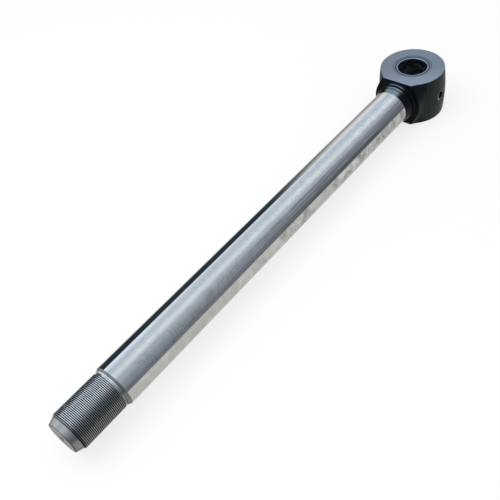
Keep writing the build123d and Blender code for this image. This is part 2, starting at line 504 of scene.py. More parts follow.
def body_radius(eye, plan, balls, bearing, height):
    """Distance of the uncut body from the pin's axis, which is the higher of barrel and boss.

    The boss is sqrt(boss^2 - z^2) / sin b. Between the two lines that the ball touches, the wall is where
    a ray from the axis first meets a ball: d - sqrt(d^2 - |c|^2 + r^2), d the centre c along the ray.
    """
    cosine = np.cos(bearing)
    sine = np.maximum(np.abs(np.sin(bearing)), 1e-6)
    barrel = barrel_radius(eye, height)
    boss = np.where(cosine > 0, np.sqrt(plan["boss"] ** 2 - height**2) / sine, 0)
    plain = np.maximum(barrel, np.minimum(boss, 2 * barrel))
    folded = np.arccos(cosine)
    after_boss = folded > np.interp(height, balls["boss_height"], balls["boss_bearing"])
    before_barrel = folded < np.interp(height, balls["barrel_height"], balls["barrel_bearing"])
    depth = cosine[..., None] * balls["along"] + sine[..., None] * balls["side"]
    far = balls["along"] ** 2 + balls["side"] ** 2 + (height[..., None] - balls["height"]) ** 2
    square = depth**2 - far + eye.boss_blend**2
    first = np.where(square > 0, depth - np.sqrt(np.maximum(square, 0)), np.inf).min(axis=-1)
    return np.where(after_boss & before_barrel & np.isfinite(first), first, plain)


def outline_radius(eye, plan, balls, bearing, height):
    """Distance of the eye's outer wall from the pin's axis.

    It is the lowest of the body, the end plane, end / cos b, and the chamfer between them, where the
    distances to both add up to the chamfer's width.
    """
    cosine = np.maximum(np.cos(bearing), 1e-3)
    body = body_radius(eye, plan, balls, bearing, height)
    end = np.minimum(plan["end"] / cosine, 2 * body)
    chamfer = (plan["end"] + body - eye.rim_chamfer) / (1 + cosine)
    chamfer = np.where(np.cos(bearing) > 0, chamfer, 2 * body)
    return soft_lower(soft_lower(end, body, eye.rim_blend), chamfer, eye.rim_blend)


def falling_zero(test, height):
    """Bearing at which a falling test passes zero at each height, found by halving a quarter turn."""
    low = np.full_like(height, 0.01)
    high = np.full_like(height, math.pi / 2)
    for _ in range(HALVINGS):
        middle = (low + high) / 2
        above = test(middle) > 0
        low = np.where(above, middle, low)
        high = np.where(above, high, middle)
    return low


def eye_bearings(eye, plan, balls, height):
    """Bearings of the grid's columns, drawn together along the boss's rim and its blend.

    Between the control bearings 0, rim's two edges, blend's two edges and pi they are spaced evenly. The
    other half mirrors them.
    """

    def body(bearing):
        return body_radius(eye, plan, balls, bearing, height)

    rim_in = falling_zero(lambda b: body(b) - plan["end"] / np.cos(b) - eye.rim_chamfer, height)
    rim_out = falling_zero(lambda b: body(b) * np.cos(b) - plan["end"] + eye.rim_chamfer, height)
    rim_out = np.maximum(rim_out, rim_in + LEAST_RIM)
    touch_boss = np.interp(height, balls["boss_height"], balls["boss_bearing"])
    touch_barrel = np.interp(height, balls["barrel_height"], balls["barrel_bearing"])
    blend_in = np.maximum(touch_boss, rim_out + LEAST_BOSS)
    blend_out = np.maximum(touch_barrel, blend_in + LEAST_BLEND)
    stops = [np.zeros_like(height), rim_in, rim_out, blend_in, blend_out, np.full_like(height, math.pi)]
    parts = [
        low[:, None] + (high - low)[:, None] * np.linspace(0, 1, count, endpoint=False)
        for low, high, count in zip(stops[:-1], stops[1:], EYE_COLUMNS)
    ]
    half = np.concatenate([*parts, stops[-1][:, None]], axis=1)
    return np.concatenate([half, 2 * math.pi - half[:, -2:0:-1]], axis=1)


def wall_heights(top, window, rows):
    """Heights of a wall's rows from below top down to above -top, and how many lie above its window.

    They are spaced evenly in the window and evenly beside it, where rows counts top and the window's edge.
    """
    above = np.linspace(top, window, rows)[1:-1]
    within = np.linspace(window, -window, WINDOW_ROWS + 1)
    return np.concatenate([above, within, -above[::-1]]), len(above)


def window_columns(bearing, reach):
    """First and last column of a window round the bearing of the port, a quarter turn."""
    inside = np.flatnonzero(np.abs(bearing - math.pi / 2) <= reach)
    return inside[0], inside[-1]


def cut_window(grid, keep, row, columns, flip=False):
    """Leaves a window's quads out of a grid and gives the points round it.

    They follow the last row, the last column back, the first row back and the first column. flip takes
    the rows from the other end.
    """
    first, last = columns
    keep[row : row + WINDOW_ROWS, first:last] = False
    block = grid[row : row + WINDOW_ROWS + 1, first : last + 1]
    if flip:
        block = block[::-1]
    return np.concatenate([block[-1, :-1], block[:0:-1, -1], block[0, :0:-1], block[:-1, 0]])


def wall_rings(border, wall_radius, hole_radius):
    """Rings on a wall, from a window's border in to a round hole along Y.

    Seen along Y a ring is (1 - t) border + t circle, the circle at the border's own angles, and
    y = -sqrt(wall_radius(z)^2 - x^2) lays it on the wall.
    """
    flat = border[:, [0, 2]]
    circle = hole_radius * flat / np.linalg.norm(flat, axis=1)[:, None]
    t = np.linspace(0, 1, RING_STEPS + 1)[:, None, None]
    across, height = np.moveaxis((1 - t) * flat + t * circle, -1, 0)
    return joined(across, -np.sqrt(wall_radius(height) ** 2 - across**2), height)


def hole_rings(border, profile):
    """Rings of a hole along Y through (radius, distance from the pin's axis) points."""
    flat = border[:, [0, 2]]
    across, height = (flat / np.linalg.norm(flat, axis=1)[:, None]).T
    return joined(profile[:, :1] * across, -profile[:, 1:], profile[:, :1] * height)


def eye_shell(eye, plan):
    """The eye as one closed grid: section points by bearings, with a window for the port on each wall.

    The paint, finish 0, ends on the chamfers of the two faces.
    """
    half = plan["half"]
    chamfer = eye.chamfer
    upper = eased(
        [(0, half - 2 * chamfer), (0, half - chamfer), (chamfer, half), (2 * chamfer, half)], 0.3 * chamfer
    )
    lower = mirrored(upper)
    heights, below_window = wall_heights(half - 2 * chamfer, eye.window, EYE_ROWS)
    section = np.concatenate([lower, joined(0, -heights), upper])
    balls = blend_balls(eye, plan)
    bearing = eye_bearings(eye, plan, balls, section[:, 1])
    radius = outline_radius(eye, plan, balls, bearing, section[:, 1:]) - section[:, :1]
    outer = about_pin(radius, section[:, 1:], bearing)

    face_edge = plan["recess"] + 2 * eye.lead_in
    t = np.linspace(0, 1, FACE_ROWS)[1:-1, None]
    face = about_pin((1 - t) * radius[-1] + t * face_edge, half, bearing[-1])
    floor = half - eye.recess_depth
    seat_top = floor - eye.lead_in
    down = eased(
        [
            (face_edge, half),
            (plan["recess"], half),
            (plan["recess"], floor),
            (plan["seat"] + eye.lead_in, floor),
            (plan["seat"], seat_top),
            (plan["seat"], seat_top - eye.lead_in),
        ],
        eye.edge,
    )
    seat, above_drilling = wall_heights(seat_top - eye.lead_in, eye.inner_window, SEAT_ROWS)
    inside = np.concatenate([down, joined(plan["seat"], seat), mirrored(down)])
    inner = about_pin(inside[:, :1], inside[:, 1:], bearing[-1])

    grid = np.concatenate([outer, face, inner, face[::-1] * (1, 1, -1)])
    keep = np.ones(grid.shape[:2], bool)
    columns = window_columns(bearing[len(section) // 2], eye.window_angle)
    outer_border = cut_window(grid, keep, len(lower) + below_window, columns)
    inner_row = len(outer) + len(face) + len(down) + above_drilling
    inner_border = cut_window(grid, keep, inner_row, columns, flip=True)
    finish = np.ones(len(grid), int)
    finish[len(lower) - EASE_STEPS : len(outer) - len(upper) + EASE_STEPS - 1] = 0
    shell = Shell()
    shell.add(grid, finish, along=True, keep=keep)

    spot = EYE_BOX[1].x - eye.spot_depth
    bottom = spot - eye.port_depth
    hole = eased(
        [
            (eye.spot_radius, spot + 3 * eye.edge),
            (eye.spot_radius, spot),
            (eye.port_radius + eye.port_chamfer, spot),
            (eye.port_radius, spot - eye.port_chamfer),
            (eye.port_radius, bottom),
            (eye.drilling_radius, bottom),
            (eye.drilling_radius, (bottom + plan["seat"]) / 2),
        ],
        eye.edge,
    )
    outside = wall_rings(outer_border, lambda height: barrel_radius(eye, height), eye.spot_radius)
    through = wall_rings(inner_border, lambda height: plan["seat"], eye.drilling_radius)[::-1]
    patch = np.concatenate([outside, hole_rings(outer_border, hole), through])
    shell.add(patch, np.where(np.arange(len(patch) - 1) < len(outside), 0, 2))
    return shell


def neck_shell(eye, plan):
    """The eye's turned neck, from just inside the end plane to the weld's root."""
    end = -EYE_BOX[0].x
    root = eye.neck_root
    foot = plan["neck"] + eye.neck_flare
    profile = eased(
        [
            (plan["end"] - root, 0),
            (plan["end"] - root, foot + 1.5 * root),
            (plan["end"], foot + 1.2 * root),
            (plan["end"] + 0.3 * root, foot),
            (end - eye.neck_chamfer, plan["neck"]),
            (end, plan["neck"] - eye.neck_chamfer),
            (end, 0),
        ],
        0.5 * root,
    )
    shell = Shell()
    shell.add(turned(profile))
    return shell


def bush_shell(eye):
    """The bush as a closed ring with a window on each wall for the drilling. Its walls have finish 1."""
    half = BUSH_BOX[1].z
    outer = BUSH_BOX[1].x
    inner = eye.bore_radius
    edge = eye.bush_chamfer
    corner = eased(
        [
            (inner, half - 2 * edge),
            (inner, half - edge),
            (inner + edge, half),
            (outer - edge, half),
            (outer, half - edge),
            (outer, half - 2 * edge),
        ],
        eye.edge,
    )
    heights, above = wall_heights(half - 2 * edge, eye.inner_window, BUSH_ROWS)
    loop = np.concatenate([corner, joined(outer, heights), mirrored(corner), joined(inner, -heights)])
    bearing = np.linspace(0, 2 * math.pi, BUSH_COLUMNS, endpoint=False)
    grid = about_pin(loop[:, :1], loop[:, 1:], bearing)
    keep = np.ones(grid.shape[:2], bool)
    columns = window_columns(bearing, eye.window_angle)
    half_loop = len(corner) + len(heights)
    outer_border = cut_window(grid, keep, len(corner) + above, columns, flip=True)
    inner_border = cut_window(grid, keep, half_loop + len(corner) + above, columns)
    shell = Shell()
    shell.add(grid, np.arange(len(grid)) % half_loop >= len(corner), along=True, keep=keep)
    outside = wall_rings(outer_border, lambda height: outer, eye.drilling_radius)
    within = wall_rings(inner_border, lambda height: inner, eye.drilling_radius)
    shell.add(np.concatenate([outside, within[::-1]]), 1)
    return shell


def weld_shell(weld, rod, at):
    """The weld as a closed ring with fine ripples.

    The round pass is its chord plus bulge * 4 t (1 - t). Ripples lower it by depth * (1 - cos p) / 2,
    where the phase p grows round the bar and bends back towards the pass's edges.
    """
    valley = np.array([at["root"] + weld.crest_width, rod.radius + weld.valley_rise])
    foot = np.array([at["root"], rod.radius + weld.foot_rise])
    toe = np.array([at["toe"], rod.radius])
    t = np.linspace(0, 1, CREST_ROWS)[:, None]
    crest = foot + (valley - foot) * t + np.array([0, weld.bulge]) * 4 * t * (1 - t)
    flat = valley + (toe - valley) * np.linspace(0, 1, FLAT_ROWS)[1:, None]
    profile = np.concatenate([crest, flat, [(at["root"], rod.root_radius)]])
    across = np.concatenate([np.linspace(-1, 1, len(crest)), np.linspace(-1, 1, len(flat)), [1.0]])[:, None]
    level = np.repeat([1.0, weld.flat_ripple, 0.0], [len(crest), len(flat), 1])[:, None]
    turn = np.linspace(0, 2 * math.pi, WELD_COLUMNS, endpoint=False)
    count = round(2 * math.pi * rod.radius / weld.ripple_length)
    phase = count * turn + weld.ripple_bend * across**2 + weld.ripple_waver * np.sin(weld.wavers * turn)
    ripple = weld.ripple_depth * level * np.sqrt(1 - across**2) * (1 - np.cos(phase)) / 2
    shell = Shell()
    shell.add(about_bar(profile[:, :1], profile[:, 1:] - ripple, turn), along=True)
    return shell


class Value:
    """A shader socket that can be used in Python arithmetic. Each operation adds a Math node."""

    def __init__(self, shader, socket):
        self.shader = shader
        self.socket = socket

    def __add__(self, other):
        return self.shader.math("ADD", self, other)

    def __sub__(self, other):
        return self.shader.math("SUBTRACT", self, other)

    def __rsub__(self, other):
        return self.shader.math("SUBTRACT", other, self)

    def __mul__(self, other):
        return self.shader.math("MULTIPLY", self, other)

    def __truediv__(self, other):
        return self.shader.math("DIVIDE", self, other)

    def __pow__(self, other):
        return self.shader.math("POWER", self, other)

    def __neg__(self):
        return self * -1.0

    def __abs__(self):
        return self.shader.math("ABSOLUTE", self)

    __radd__ = __add__
    __rmul__ = __mul__


class Shader:
    """A node tree that is written as expressions."""

    def __init__(self, owner):
        self.owner = owner
        owner.use_nodes = True
        self.tree = owner.node_tree
        self.tree.nodes.clear()

    def node(self, kind, settings=None, sockets=None, output=0):
        """Adds a node, sets its settings, then fills its sockets. stops are a ramp's places and colours."""
        made = self.tree.nodes.new(kind)
        for name, value in (settings or {}).items():
            if name == "stops":
                self.fill_ramp(made.color_ramp, value)
            else:
                setattr(made, name, value)
        for name, value in (sockets or {}).items():
            if isinstance(value, Value):
                self.tree.links.new(value.socket, made.inputs[name])
            else:
                made.inputs[name].default_value = value
        return Value(self, made.outputs[output]) if made.outputs else None

    def fill_ramp(self, ramp, stops):
        """Gives a colour ramp its stops, which rise from left to right."""
        while len(ramp.elements) < len(stops):
            ramp.elements.new(1.0)
        for element, (position, shade) in zip(ramp.elements, stops):
            element.position = position
            element.color = (*shade, 1.0)

    def math(self, operation, *values):
        """A Math node on the given values."""
        return self.node("ShaderNodeMath", {"operation": operation}, dict(enumerate(values)))

    def point(self, stretch=(1, 1, 1)):
        """The point on the piece in metres, scaled by axis."""
        coordinates = self.node("ShaderNodeTexCoord", output="Object")
        sockets = {"Vector": coordinates, "Scale": stretch}
        return self.node("ShaderNodeMapping", {"vector_type": "POINT"}, sockets)

    def axes(self, vector=None):
        """The three numbers of a vector, or of the point on the piece."""
        parts = self.node("ShaderNodeSeparateXYZ", None, {"Vector": vector or self.point()})
        return [Value(self, output) for output in parts.socket.node.outputs]

    def noise(self, grain, detail, roughness=0.5, distortion=0.0):
        """Soft noise from 0 to 1. grain is a vector, or the features in a metre along each axis."""
        sockets = {
            "Vector": grain if isinstance(grain, Value) else self.point(grain), "Scale": 1.0,
            "Detail": detail, "Roughness": roughness, "Distortion": distortion,
        }
        return self.node("ShaderNodeTexNoise", None, sockets)

    def rings(self, across, along, grain, detail=2.0, roughness=0.6):
        """The distance from the axis that two coordinates are measured from, and turning marks round it."""
        radius = (across * across + along * along) ** 0.5
        sockets = {0: radius * grain, 1: across * 20.0, 2: along * 20.0}
        return radius, self.noise(self.node("ShaderNodeCombineXYZ", None, sockets), detail, roughness)

    def step(self, value, low, high):
        """0 below low, 1 above high and smooth between."""
        sockets = {"Value": value, "From Min": low, "From Max": high, "To Min": 0.0, "To Max": 1.0}
        return self.node("ShaderNodeMapRange", {"interpolation_type": "SMOOTHSTEP"}, sockets)

    def past(self, value, station, low, high):
        """A step from low to high millimetres past a station."""
        return self.step(value, station + low * MM, station + high * MM)

    def between(self, value, rise, fall):
        """1 between two steps, the first up and the second down."""
        return self.step(value, *rise) * (1 - self.step(value, *fall))

    def band(self, value, low, high, soft):
        """1 between low and high, falling to 0 over soft on both sides."""
        return self.between(value, (low - soft, low), (high, high + soft))

    def line(self, value, station, low, high, soft):
        """A band from low to high millimetres past a station."""
        return self.band(value, station + low * MM, station + high * MM, soft * MM)

    def mix(self, factor, low, high):
        """Colour between low and high."""
        settings = {"data_type": "RGBA", "blend_type": "MIX"}
        return self.node("ShaderNodeMix", settings, {0: factor, 6: rgba(low), 7: rgba(high)}, output=2)

    def shaded(self, base, factor):
        """A colour made lighter or darker by a factor."""
        grey = self.node("ShaderNodeCombineColor", None, {0: factor, 1: factor, 2: factor})
        settings = {"data_type": "RGBA", "blend_type": "MULTIPLY"}
        return self.node("ShaderNodeMix", settings, {0: 1.0, 6: rgba(base), 7: grey}, output=2)

    def surface(self, base, metallic, roughness, height, depth=0.02, strength=0.6, specular=0.5):
        """The material with a Principled surface, its normal bent by a height in shares of a depth in mm."""
        sockets = {"Strength": strength, "Distance": depth * MM, "Height": height}
        principled = self.node("ShaderNodeBsdfPrincipled", None, {
            "Base Color": base, "Metallic": metallic, "Roughness": roughness,
            "Specular IOR Level": specular, "Normal": self.node("ShaderNodeBump", None, sockets),
        })
        self.node("ShaderNodeOutputMaterial", None, {"Surface": principled})
        return self.owner


def rgba(value):
    """A colour with its alpha, or the link that gives one."""
    return value if isinstance(value, Value) else (*value, 1.0)


def around_bar(s, y, z):
    """Angle round the bar in radians: 0 at the front, a quarter turn on top."""
    return s.math("ARCTAN2", z, -y)


def chrome_material(finish):
    """Polished hard chrome with marks that lighten or darken it.

    The front has blotchy wipe marks and lines, the part above it streaks along the bar, most of all near the
    eye, and the upper side thin wisps. Near the eye, painted shade darkens the front and the lower part of
    the band with streaks. Angles round the bar are in radians.
    """
    s = Shader(bpy.data.materials.new("hard_chrome"))
    x, y, z = s.axes()
    facing = around_bar(s, y, z)
    front = s.between(facing, (-0.9, -0.5), (0.33, 0.42))
    middle = s.between(facing, (0.38, 0.46), (0.8, 1.3))
    upper = s.between(facing, (0.75, 1.05), (1.6, 1.8))
    by_eye = s.step(x, -0.5, -0.25)
    streaks = s.noise((4, 700, 700), 2, 0.6)
    breaks = s.step(s.noise((28, 60, 60), 2), 0.38, 0.56)
    smears = s.noise((38, 90, 90), 4, 0.6, 1.4)
    clouds = s.noise((60, 45, 45), 3, 0.55, 0.5)
    swirls = s.noise((24, 16, 16), 1, 0.5, 2.2)
    lines = s.band(swirls, 0.44, 0.465, 0.02) + s.band(swirls, 0.56, 0.58, 0.02)
    blots = s.noise((46, 27, 27), 3, 0.56, 1.8)
    wisps = s.band(s.noise((34, 80, 80), 3, 0.6, 2.2), 0.5, 0.53, 0.04)
    wiped_and_shade = ((blots - 0.54) * 1.5 - lines * 0.2) * (0.3 + by_eye * 0.8)
    # Painted shade darkens the front near the eye.
    wiped_and_shade = wiped_and_shade - s.step(x, -0.17, -0.09) * 0.16
    streaks_and_shade = (streaks - 0.5) * (0.4 + by_eye * breaks * 2.4) - lines * (1 - by_eye) * 0.14
    # Painted shade darkens the lower part of this band near the eye.
    streaks_and_shade = streaks_and_shade - by_eye * (1 - s.step(facing, 0.86, 1.0)) * 0.28
    hazy = (wisps * 0.16 - 0.04) * (0.35 + by_eye * 0.65)
    marks = wiped_and_shade * front + streaks_and_shade * middle + hazy * upper + (clouds - 0.5) * 0.2
    rough = 0.06 + s.step(smears, 0.5, 0.75) * 0.1 + front * 0.04
    base = s.shaded(finish.chrome, 1.0 + marks)
    return s.surface(base, metallic=1.0, roughness=rough, height=streaks * 0.5 + clouds * 1.2)


def steel_material(finish, rod, at):
    """Bare turned steel: fine turning rings and dull patches, the thread's crests bright, its flanks and
    roots dark with dirt and painted shade.

    The crests carry painted light: brightest on top and painted darker on the front and below. The end face
    is painted darker all over; painted light lifts it towards its upper back, and painted shade darkens it
    round the lathe centre, whose hole is painted nearly black. The shoulder is painted a little darker all
    round and, as painted shade, much darker on top. Painted shade darkens the nose's edge and the thread's
    last turn, and a painted highlight brightens the groove on top.

    The thread's phase is the fraction of (station - start) / pitch - turn, moved so that the crest lies in
    the middle.
    """
    s = Shader(bpy.data.materials.new("turned_steel"))
    x, y, z = s.axes()
    station = -x
    facing = around_bar(s, y, z)
    radius = (y * y + z * z) ** 0.5
    rings = s.noise((3500, 12, 12), 2, 0.6)
    patches = s.noise((160, 160, 160), 3, 0.6, 0.4)
    tone = 0.82 + rings * 0.22 + patches * 0.14

    low = (1 - rod.crest_share) / 2
    turn = s.math("ARCTAN2", -z, y) / (2 * math.pi)
    phase = s.math("FRACT", (station - at["thread_start"]) / rod.pitch - turn + low)
    crest = s.band(phase, low, 1 - low, 0.05)
    # Painted light on the crests: brightest on top, painted darker on the front and below.
    painted_light = 0.42 + s.step(facing, math.radians(42), math.radians(67)) * 0.58
    # Painted shade on the thread's last, chamfered turn.
    last_turn_shade = s.line(station, at["thread_end"], -1.6, 0.6, 0.4)
    cut = s.mix(crest, finish.grime_and_shade, s.shaded(finish.crest, tone * painted_light * (1 - last_turn_shade * 0.6)))

    end_face = s.past(station, at["rod_end"], -0.5, -0.1)
    towards_upper_back = y * 0.64 + z * 0.77
    # Painted shade on the end face: lifted by painted light towards the upper back, deepest round the lathe
    # centre.
    end_face_shade = 0.74 - s.past(towards_upper_back, 0, -4, 20) * 0.34 + (1 - s.past(radius, 0, 2, 8)) * 0.16
    upper = s.step(facing, math.radians(20), math.radians(60))
    shoulder = 1 - s.past(station, at["shoulder_end"], -1.4, -0.9)
    groove = s.band(station, at["shoulder_end"] - 0.9 * MM, at["thread_start"] - 0.4 * MM, 0.4 * MM)
    nose_edge_shade = s.line(station, at["rod_end"], -1.1, -0.5, 0.3)
    # Painted shade on the shoulder, most on top, and on the nose's edge; a painted highlight on top of the
    # groove.
    bright = 1 - end_face_shade * end_face - shoulder * (0.1 + upper * 0.38) + groove * upper * 0.8
    bright = bright - last_turn_shade * 0.4 - nose_edge_shade * 0.4
    # Painted shade: the lathe centre's hole is painted nearly black.
    bright = bright * (0.1 + s.past(radius, rod.centre_radius, 0, 0.5) * 0.9)
    warm = tuple(part * tint for part, tint in zip(finish.steel, (1.04, 1.02, 0.94)))
    plain = s.shaded(s.mix(end_face, finish.steel, warm), tone * bright)

    threaded = s.band(station, at["thread_start"] + 0.5 * MM, at["thread_end"], 0.1 * MM)
    base = s.mix(threaded, plain, cut)
    rough = 0.2 + patches * 0.16 + threaded * 0.08
    return s.surface(base, metallic=1.0, roughness=rough, height=rings, depth=0.015, strength=0.7)


def paint_material(finish):
    """Satin black paint with upright machining lines under it, painted lighter and greyer on the barrel as a
    painted reflection of the floor.
    """
    s = Shader(bpy.data.materials.new("black_paint"))
    x, y, z = s.axes()
    peel = s.noise((900, 900, 900), 2)
    lines = s.noise((620, 620, 14), 3, 0.6)
    patches = s.noise((55, 55, 55), 4, 0.6, 0.6)
    edge = s.math("ARCTAN2", abs(y), -x) - s.past(z, 0, 4, 30) * math.radians(12)
    edge = edge - (1 - s.past(z, 0, -30, -6)) * math.radians(5)
    # Painted reflection: the barrel side is painted lighter and greyer than the boss side.
    barrel = s.step(edge, math.radians(40), math.radians(50))
    tone = 0.08 + s.step(lines, 0.3, 0.7) * 0.9 + patches * 0.6
    base = s.shaded(s.mix(barrel, finish.paint, finish.barrel), tone)
    rough = 0.36 + (patches - 0.5) * 0.16 + (lines - 0.5) * 0.14
    height = peel * 0.4 + lines * 0.6
    return s.surface(
        base, metallic=0.0, roughness=rough, height=height, depth=0.03, strength=0.7, specular=0.085
    )


def weld_material(finish, at, weld):
    """Weld and neck: metallic blue-grey along the top, black paint below, painted shade in the corners and a
    painted highlight along the round pass.
    """
    s = Shader(bpy.data.materials.new("weld_steel"))
    x, y, z = s.axes()
    station = -x
    facing = around_bar(s, y, z)
    specks = s.noise((1100, 1100, 1100), 2, 0.6)
    worn = s.noise((90, 160, 160), 3, 0.6)
    valley = at["root"] + weld.crest_width
    # Metallic blue-grey along the top, black paint elsewhere, with a few metallic specks.
    top = s.step(facing + (worn - 0.5) * 0.25, math.radians(58), math.radians(74))
    top = top * (1 - s.step(facing, math.radians(100), math.radians(116)))
    top = top * s.past(station, at["root"], -3.0, -2.4)
    metal_share = top + s.step(specks, 0.6, 0.7) * (1 - top) * 0.06
    # Painted shade in the valley between the passes and in the corner where the weld meets the neck.
    dark = s.line(station, valley, -0.35, 0.35, 0.3) + s.line(station, at["root"], -0.9, 0.4, 0.3)
    neck = 1 - s.past(station, at["root"], -1.0, 0)
    flat = s.past(station, valley, -0.5, 0.5)
    # Painted highlight along the round pass's crest, painted darker beside it.
    crest_highlight = s.line(station, at["root"], 2.6, 4.4, 1.6)
    tone = (0.8 + specks * 0.4) * (1 - dark * 0.9) * (1 - neck * 0.5) * (1 - flat * 0.1)
    tone = tone * (1 + (crest_highlight - 0.55) * (1 - flat) * (1 - neck) * 0.7)
    base = s.shaded(s.mix(metal_share, finish.paint, finish.weld), tone)
    rough = 0.24 + worn * 0.1
    return s.surface(base, metallic=metal_share, roughness=rough, height=specks, depth=0.03, specular=0.085)


def face_material(finish, plan):
    """Machined slate face with turning marks, dark at the bush's seam, with painted shade on the recess's
    wall.

    Painted light makes it brighter towards the bar and the port.
    """
    s = Shader(bpy.data.materials.new("machined_face"))
    x, y, _ = s.axes()
    radius, rings = s.rings(x, y, 2600.0, 3, 0.65)
    patches = s.noise((90, 90, 90), 4, 0.6, 0.5)
    seam = 1 - s.past(radius, plan["seat"], 0.8, 1.5)
    # Painted shade on the recess's wall.
    wall = s.line(radius, plan["recess"], -0.3, 0.3, 0.4)
    towards_near_side = x * -0.82 + y * -0.57
    # Painted light: the face is brighter towards the near side.
    near_side_light = s.step(towards_near_side / plan["end"], 0.1, 0.95)
    tone = (0.53 + rings * 0.28 + patches * 0.26 + near_side_light * 0.33) * (1 - seam * 0.9) * (1 - wall * 0.7)
    rough = 0.42 + (patches - 0.5) * 0.14
    return s.surface(s.shaded(finish.face, tone), metallic=0.45, roughness=rough, height=rings)


def port_material(finish, eye):
    """Grease port: dull spot face with painted light on its lower side towards the thread, a painted shadow
    at its rim, and painted shade that makes the hole black.
    """
    s = Shader(bpy.data.materials.new("grease_port"))
    x, _, z = s.axes()
    radius, rings = s.rings(x, z, 3200.0)
    # Painted shadow of the spot face's wall at its rim.
    rim = s.past(radius, eye.spot_radius, -0.9, -0.3)
    # Painted shade that makes the tapped hole black.
    hole = 1 - s.past(radius, eye.port_radius, 0.2, 0.7)
    # Painted light on the spot face's lower side towards the thread.
    painted_light = 1 - s.past(x + z, 0, -4, 5) * 0.7
    tone = (0.7 + rings * 0.4) * painted_light * (1 - rim * 0.8) * (1 - hole * 0.95)
    return s.surface(s.shaded(finish.steel, tone), metallic=0.9, roughness=0.34, height=rings)


def bush_material(finish):
    """Steel of the bush's ends: fine rings, bright at the bore and dark at the seam."""
    s = Shader(bpy.data.materials.new("bush_end"))
    x, y, _ = s.axes()
    radius, rings = s.rings(x, y, 3200.0)
    seam = s.past(radius, BUSH_BOX[1].x, -1.1, -0.6)
    base = s.shaded(finish.bush, (0.8 + rings * 0.4) * (1 - seam * 0.9))
    return s.surface(base, metallic=0.8, roughness=0.33, height=rings)


def bore_material(finish):
    """Dark oiled bore with cloudy wet patches, painted darker near its ends as painted shade."""
    s = Shader(bpy.data.materials.new("oiled_bore"))
    _, _, z = s.axes()
    clouds = s.noise((70, 70, 110), 4, 0.6, 0.8)
    # Painted shade near both ends of the bore.
    tone = (0.2 + s.step(clouds, 0.35, 0.7) * 1.6) * (1 - s.past(abs(z), 0, 20, 34) * 0.6)
    base = s.shaded(finish.bore, tone)
    rough = 0.3 + clouds * 0.2
    return s.surface(
        base, metallic=0.3, roughness=rough, height=clouds, depth=0.06, strength=0.5, specular=0.2
    )


# Colours of the studio by elevation round the bar's axis, in degrees from the front horizon over the top
ROOM = (
    (-180, (0.56, 0.57, 0.58)),
    (-175, (0.43, 0.44, 0.44)),
    (-165, (0.38, 0.38, 0.375)),
    (-155, (0.51, 0.505, 0.5)),
    (-145, (0.7, 0.69, 0.675)),
    (-125, (0.82, 0.81, 0.785)),
    (-105, (0.75, 0.74, 0.715)),
    (-92, (0.7, 0.69, 0.67)),
    (-75, (0.75, 0.74, 0.72)),
    (-55, (0.79, 0.78, 0.755)),
    (-35, (0.84, 0.83, 0.8)),
    (-14, (0.87, 0.86, 0.83)),
    (-11, (0.27, 0.28, 0.31)),
    (3, (0.25, 0.27, 0.31)),
    (14, (0.31, 0.34, 0.4)),
    (34, (0.41, 0.45, 0.52)),
    (54, (0.56, 0.62, 0.72)),
    (68, (0.68, 0.755, 0.86)),
    (80, (0.97, 1.07, 1.16)),
    (88, (1.12, 1.21, 1.28)),
    (96, (1.05, 1.15, 1.22)),
    (106, (0.85, 0.98, 1.1)),
    (120, (0.77, 0.91, 1.06)),
    (130, (0.79, 0.91, 1.06)),
    (138, (0.93, 1.02, 1.12)),
    (148, (1.14, 1.19, 1.26)),
    (155, (1.11, 1.15, 1.21)),
    (168, (0.95, 0.96, 0.98)),
    (180, (0.56, 0.57, 0.58)),
)
# The dark card behind the bar: where it starts and ends in degrees, and from where to where it reaches
# along X, as parts of the ray's direction
CARD_COLOUR = (0.03, 0.05, 0.065)
CARD_START = (151, 156)
CARD_END = (-167, -143)
CARD_FROM = (-0.12, 0.02)
CARD_TO = (0.5, 0.645)
WHITE = (1.0, 1.0, 1.0, 1.0)

# Directions of the camera's picture: right, down and forward
CAMERA_RIGHT = (0.61729436, -0.77591884, -0.12999086)
CAMERA_DOWN = (-0.62287519, -0.38107489, -0.6832338)
CAMERA_FORWARD = (0.48059772, 0.50272445, -0.71853598)


